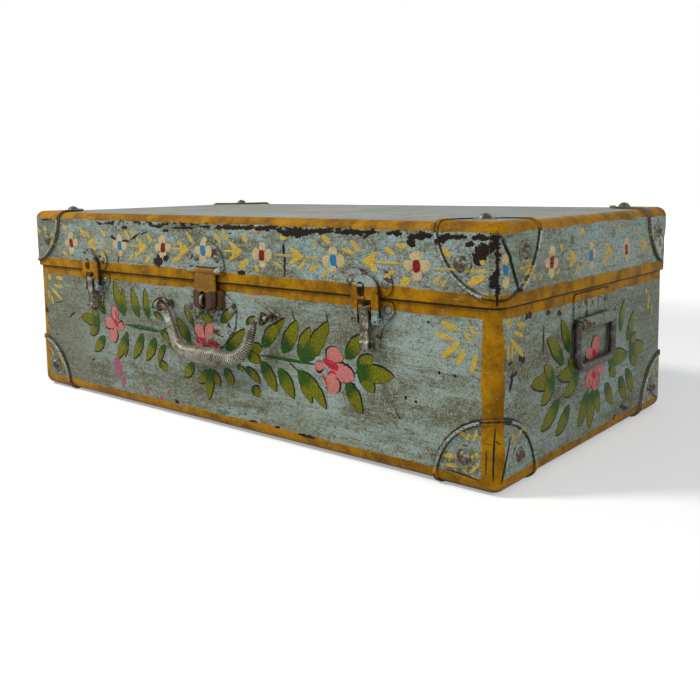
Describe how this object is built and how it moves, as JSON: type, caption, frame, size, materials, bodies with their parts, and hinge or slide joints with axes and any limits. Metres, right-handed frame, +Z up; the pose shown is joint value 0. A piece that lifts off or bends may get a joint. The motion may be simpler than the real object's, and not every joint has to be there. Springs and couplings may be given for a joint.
{
  "type": "small hand-painted tin trunk",
  "caption": "Small flat tin trunk with a hinged lid, corner caps, draw catches, a hasp over a lock staple, a wire-wound front handle and hanging end handles.",
  "frame": {"origin": "middle of the pressed bottom panel's underside, which the trunk stands on", "axes": "+X along the front to the right, -Y out of the front, +Z up"},
  "size_m": [0.4648, 0.2638, 0.1535],
  "materials": {
    "painted_tin": "aged grey-teal brushed paint with ochre edge bands, chipped and scuffed",
    "ochre_hardware": "ochre paint brushed over hardware, worn to grey at the edges",
    "grey_hardware": "dull silver-grey painted steel, tarnished in the recesses",
    "rusty_lock": "brown rust with some old paint left"
  },
  "bodies": {
    "base": {"base_tray": "painted_tin", "base_cap_front_left": "painted_tin", "base_cap_front_right": "painted_tin", "base_cap_back_left": "painted_tin", "base_cap_back_right": "painted_tin", "base_cap_rivets": "grey_hardware", "hinge_base_leaf_left": "grey_hardware", "hinge_base_leaf_right": "grey_hardware", "hinge_base_rivets": "grey_hardware", "hinge_pin_left": "grey_hardware", "hinge_pin_right": "grey_hardware", "lock_plate": "rusty_lock", "lock_case": "rusty_lock", "lock_staple": "grey_hardware", "lock_rivets": "grey_hardware", "catch_base_left": "grey_hardware", "catch_base_right": "grey_hardware", "catch_rivets": "grey_hardware", "catch_lever_pin_left": "grey_hardware", "catch_lever_pin_right": "grey_hardware", "handle_eye_left": "grey_hardware", "handle_eye_right": "grey_hardware", "end_plate_left": "grey_hardware", "end_plate_right": "grey_hardware", "end_handle_rivets": "grey_hardware"},
    "lid": {"lid_shell": "painted_tin", "lid_cap_front_left": "painted_tin", "lid_cap_front_right": "painted_tin", "lid_cap_back_left": "painted_tin", "lid_cap_back_right": "painted_tin", "lid_cap_rivets": "grey_hardware", "hinge_lid_leaf_left": "grey_hardware", "hinge_lid_leaf_right": "grey_hardware", "hinge_lid_rivets": "grey_hardware", "hasp_plate": "ochre_hardware", "hasp_pin": "grey_hardware", "hasp_rivets": "grey_hardware", "catch_strike_left": "ochre_hardware", "catch_strike_right": "ochre_hardware", "strike_rivets": "grey_hardware", "lid_end_rivets": "grey_hardware"},
    "hasp": {"hasp_strap": "ochre_hardware"},
    "lever_left": {"catch_lever_left": "grey_hardware", "catch_claw_pin_left": "grey_hardware"},
    "lever_right": {"catch_lever_right": "grey_hardware", "catch_claw_pin_right": "grey_hardware"},
    "claw_left": {"catch_claw_left": "grey_hardware"},
    "claw_right": {"catch_claw_right": "grey_hardware"},
    "front_handle": {"handle_rod": "grey_hardware", "handle_winding": "grey_hardware"},
    "bail_left": {"end_bail_left": "grey_hardware"},
    "bail_right": {"end_bail_right": "grey_hardware"}
  },
  "joints": [
    {"name": "lid_hinge", "type": "hinge", "parent": "base", "child": "lid", "pos_m": [0, 0.125, 0.104], "axis": [-1, 0, 0], "range_deg": [0, 180]},
    {"name": "hasp_hinge", "type": "hinge", "parent": "lid", "child": "hasp", "pos_m": [-0.003, -0.1243, 0.1115], "axis": [-1, 0, 0], "range_deg": [0, 150]},
    {"name": "lever_left_pivot", "type": "hinge", "parent": "base", "child": "lever_left", "pos_m": [-0.139, -0.1244, 0.098], "axis": [-1, 0, 0], "range_deg": [0, 150]},
    {"name": "lever_right_pivot", "type": "hinge", "parent": "base", "child": "lever_right", "pos_m": [0.139, -0.1244, 0.098], "axis": [-1, 0, 0], "range_deg": [0, 150]},
    {"name": "claw_left_pivot", "type": "hinge", "parent": "lever_left", "child": "claw_left", "pos_m": [-0.139, -0.1244, 0.0905], "axis": [-1, 0, 0], "range_deg": [-150, 0]},
    {"name": "claw_right_pivot", "type": "hinge", "parent": "lever_right", "child": "claw_right", "pos_m": [0.139, -0.1244, 0.0905], "axis": [-1, 0, 0], "range_deg": [-150, 0]},
    {"name": "front_handle_pivot", "type": "hinge", "parent": "base", "child": "front_handle", "pos_m": [0.005, -0.13, 0.0845], "axis": [-1, 0, 0], "range_deg": [0, 150]},
    {"name": "bail_left_pivot", "type": "hinge", "parent": "base", "child": "bail_left", "pos_m": [-0.22868, -0.006, 0.083], "axis": [0, 1, 0], "range_deg": [0, 150]},
    {"name": "bail_right_pivot", "type": "hinge", "parent": "base", "child": "bail_right", "pos_m": [0.22868, -0.006, 0.083], "axis": [0, -1, 0], "range_deg": [0, 150]}
  ],
  "couplings": [
    {"joint": "claw_left_pivot", "follows": "lever_left_pivot", "ratio": -1},
    {"joint": "claw_right_pivot", "follows": "lever_right_pivot", "ratio": -1}
  ]
}
